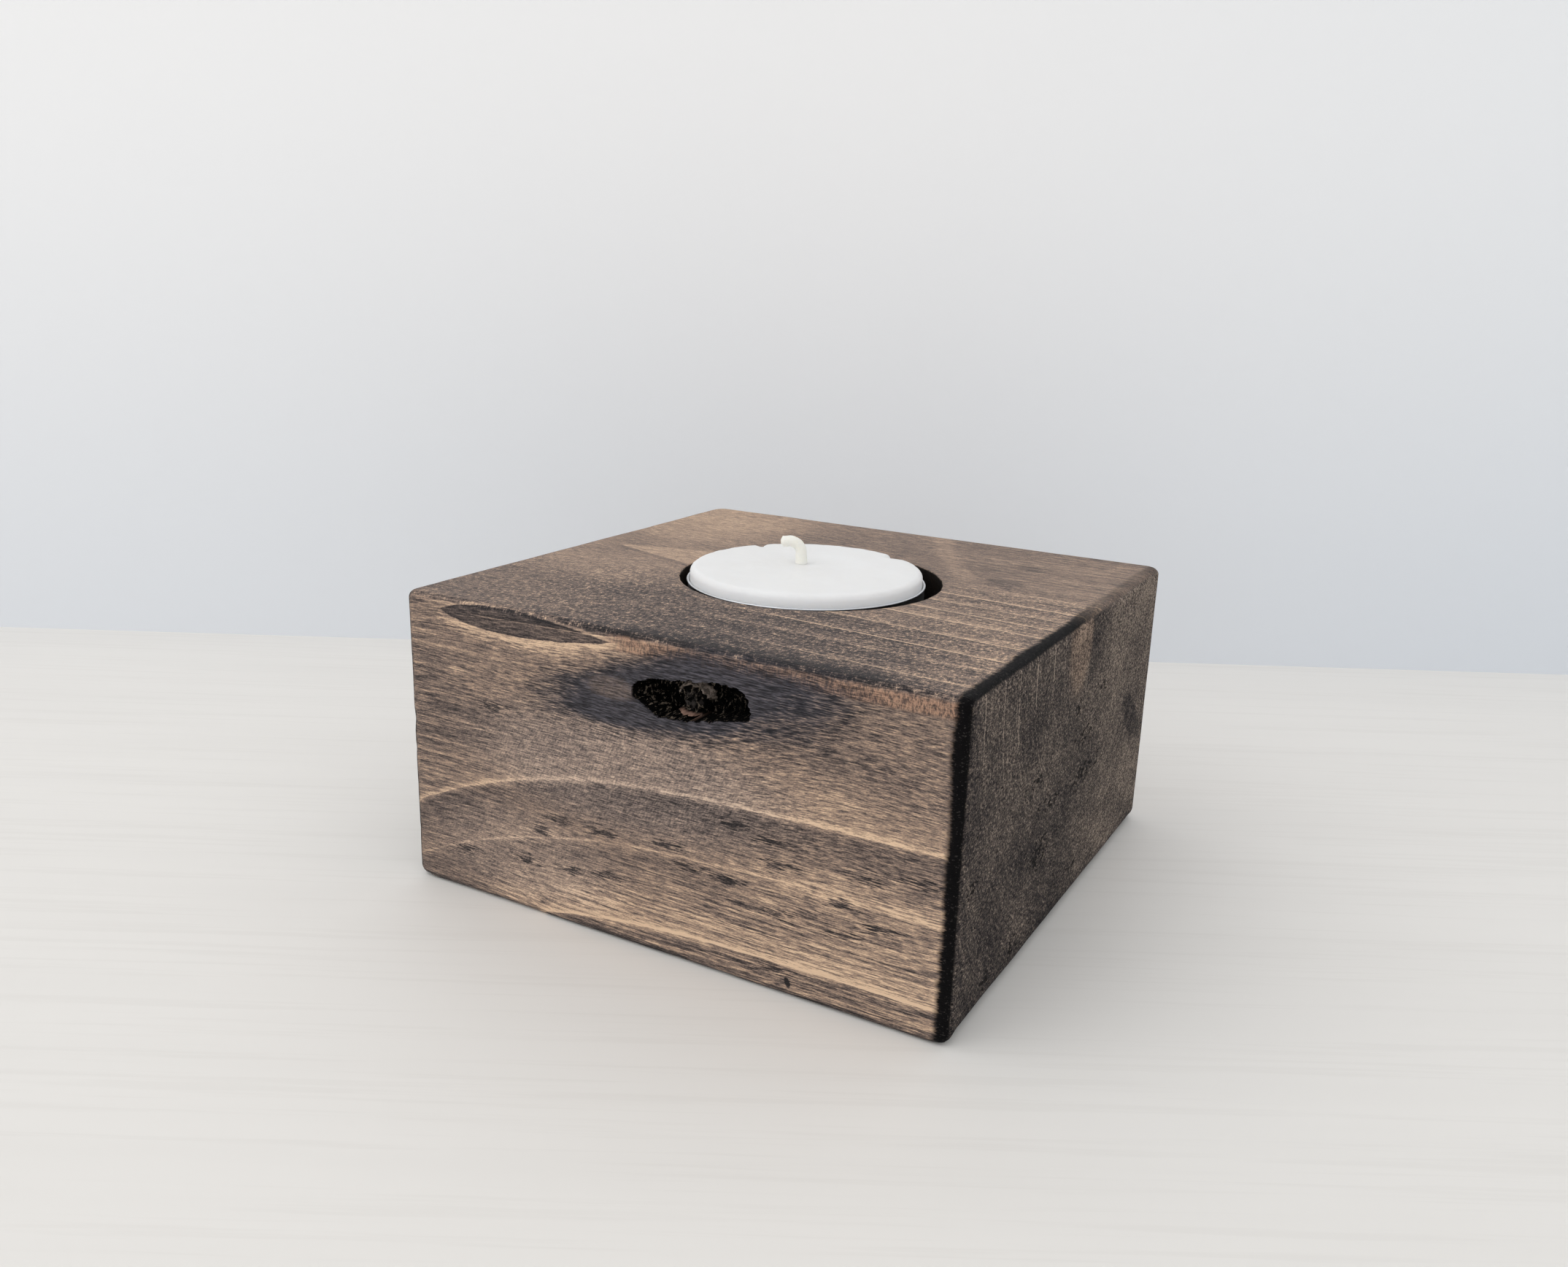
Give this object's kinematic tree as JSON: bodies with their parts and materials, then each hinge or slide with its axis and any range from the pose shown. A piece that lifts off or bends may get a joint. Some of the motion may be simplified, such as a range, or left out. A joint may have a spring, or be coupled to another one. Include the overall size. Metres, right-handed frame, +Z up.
{
  "type": "tealight holder",
  "caption": "Square block of dark stained softwood with a round pocket bored in its top, holding a tealight in a thin metal cup that lifts out.",
  "frame": {"origin": "centre of the block's underside", "axes": "+X along the grain, to the end-grain face on the right; -Y is the front, with the open knot; +Z up, out of the pocket"},
  "size_m": [0.089, 0.0856, 0.0521],
  "materials": {
    "stained_pine": "matt dark stain, near black on the end grain",
    "cup_aluminium": "bright drawn",
    "candle_wax": "smooth, slightly translucent",
    "wick_cotton": "waxed cotton braid",
    "tinned_steel": "tinned"
  },
  "bodies": {
    "holder": {"wood_block": "stained_pine"},
    "cup": {"tealight_cup": "cup_aluminium"},
    "candle": {"wax": "candle_wax", "wick": "wick_cotton", "wick_sustainer": "tinned_steel"}
  },
  "joints": [
    {"name": "tealight_lift", "type": "slide", "parent": "holder", "child": "cup", "axis": [0, 0, 1], "range_m": [0, 0.03]},
    {"name": "candle_lift", "type": "slide", "parent": "cup", "child": "candle", "axis": [0, 0, 1], "range_m": [0, 0.03]}
  ]
}
